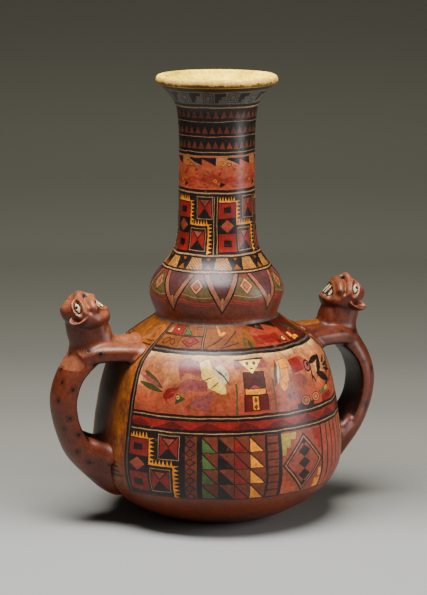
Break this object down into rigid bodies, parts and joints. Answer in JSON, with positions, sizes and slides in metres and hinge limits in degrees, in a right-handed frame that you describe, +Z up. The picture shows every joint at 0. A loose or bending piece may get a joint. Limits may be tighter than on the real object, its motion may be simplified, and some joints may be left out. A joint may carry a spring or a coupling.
{
  "type": "painted clay bottle with feline handles",
  "caption": "Long-necked clay bottle with a round body, a bulb under the neck, a flared mouth and loop handles modelled as climbing cats; stands on its base and holds liquid.",
  "frame": {"origin": "centre of the underside, where the bottle stands", "axes": "+Z up along the neck, handles along X, painted front towards -Y"},
  "size_m": [0.2308, 0.1708, 0.3],
  "materials": {
    "painted_clay": "burnished slip paint, satin gloss"
  },
  "bodies": {
    "root": {"bottle": "painted_clay"}
  },
  "joints": []
}
